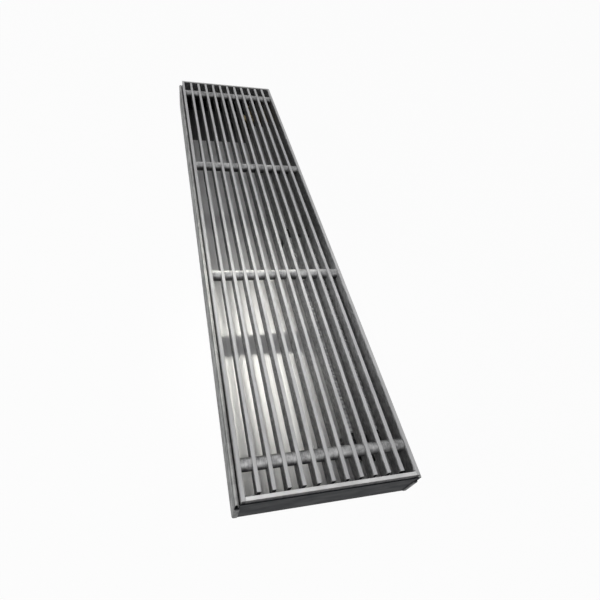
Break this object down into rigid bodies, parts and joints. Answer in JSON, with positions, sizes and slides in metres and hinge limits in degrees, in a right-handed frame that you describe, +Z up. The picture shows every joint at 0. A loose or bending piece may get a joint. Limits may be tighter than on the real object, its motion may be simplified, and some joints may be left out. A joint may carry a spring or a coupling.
{
  "type": "trench convector heater",
  "caption": "Shallow galvanised floor trough with a finned heating core along one side and a lift-out grille of long bars on cross rods with tubular spacers.",
  "frame": {"origin": "middle of the underside, which rests on the subfloor", "axes": "+Z up, +Y along the length towards the end where the pipes enter, +X across towards the side that holds the heating core"},
  "size_m": [0.2, 0.8802, 0.051],
  "materials": {
    "galvanised_sheet": "mottled zinc coating, dull",
    "bright_sheet": "bright rolled sheet, grain along the length",
    "brushed_stainless": "brushed along the bar",
    "spacer_tube": "turned, satin",
    "steel_fasteners": "plain steel",
    "fin_aluminium": "plain thin sheet",
    "black_core": "matt black coating",
    "brass_fittings": "plain cast and turned brass",
    "knob_plastic": "fine moulded texture",
    "black_rubber": "soft, matt"
  },
  "bodies": {
    "casing": {"casing_trough": "galvanised_sheet", "near_end_plate": "galvanised_sheet", "far_end_plate": "galvanised_sheet", "floor_plate": "bright_sheet", "left_ledge": "galvanised_sheet", "right_ledge": "galvanised_sheet", "left_seat_strip": "black_rubber", "right_seat_strip": "black_rubber", "near_bracket": "galvanised_sheet", "middle_bracket": "galvanised_sheet", "far_bracket": "galvanised_sheet", "bracket_screws": "steel_fasteners", "near_fin_block": "fin_aluminium", "far_fin_block": "fin_aluminium", "flow_pipe": "black_core", "return_pipe": "black_core", "return_bend": "black_core", "valve_body": "brass_fittings", "valve_bonnet": "brass_fittings", "flow_union_nut": "brass_fittings", "lockshield_body": "brass_fittings", "return_union_nut": "brass_fittings", "air_vent_body": "brass_fittings", "flow_grommet": "black_rubber", "return_grommet": "black_rubber"},
    "grille": {"left_frame_bar": "brushed_stainless", "right_frame_bar": "brushed_stainless", "near_frame_bar": "brushed_stainless", "far_frame_bar": "brushed_stainless", "grille_bar_1": "brushed_stainless", "grille_bar_2": "brushed_stainless", "grille_bar_3": "brushed_stainless", "grille_bar_4": "brushed_stainless", "grille_bar_5": "brushed_stainless", "grille_bar_6": "brushed_stainless", "grille_bar_7": "brushed_stainless", "grille_bar_8": "brushed_stainless", "grille_bar_9": "brushed_stainless", "grille_bar_10": "brushed_stainless", "grille_bar_11": "brushed_stainless", "tie_rod_1": "brushed_stainless", "tie_rod_2": "brushed_stainless", "tie_rod_3": "brushed_stainless", "tie_rod_4": "brushed_stainless", "rod_spacers_1": "spacer_tube", "rod_spacers_2": "spacer_tube", "rod_spacers_3": "spacer_tube", "rod_spacers_4": "spacer_tube", "rod_end_screws": "steel_fasteners"},
    "valve_head": {"valve_knob": "knob_plastic", "valve_spindle": "steel_fasteners"},
    "lockshield": {"lockshield_spindle": "steel_fasteners"},
    "vent": {"air_vent_screw": "steel_fasteners"}
  },
  "joints": [
    {"name": "grille_lift", "type": "slide", "parent": "casing", "child": "grille", "axis": [0, 0, 1], "range_m": [0, 0.06]},
    {"name": "knob_turn", "type": "hinge", "parent": "casing", "child": "valve_head", "pos_m": [0.019, 0.364, 0.017], "axis": [-1, 0, 0], "range_deg": [0, 340]},
    {"name": "lockshield_turn", "type": "hinge", "parent": "casing", "child": "lockshield", "pos_m": [0.076, 0.364, 0.03], "axis": [0, 0, 1], "range_deg": [0, 720]},
    {"name": "vent_turn", "type": "hinge", "parent": "casing", "child": "vent", "pos_m": [0.076, 0.3285, 0.028], "axis": [0, 0, 1], "range_deg": [0, 360]}
  ]
}
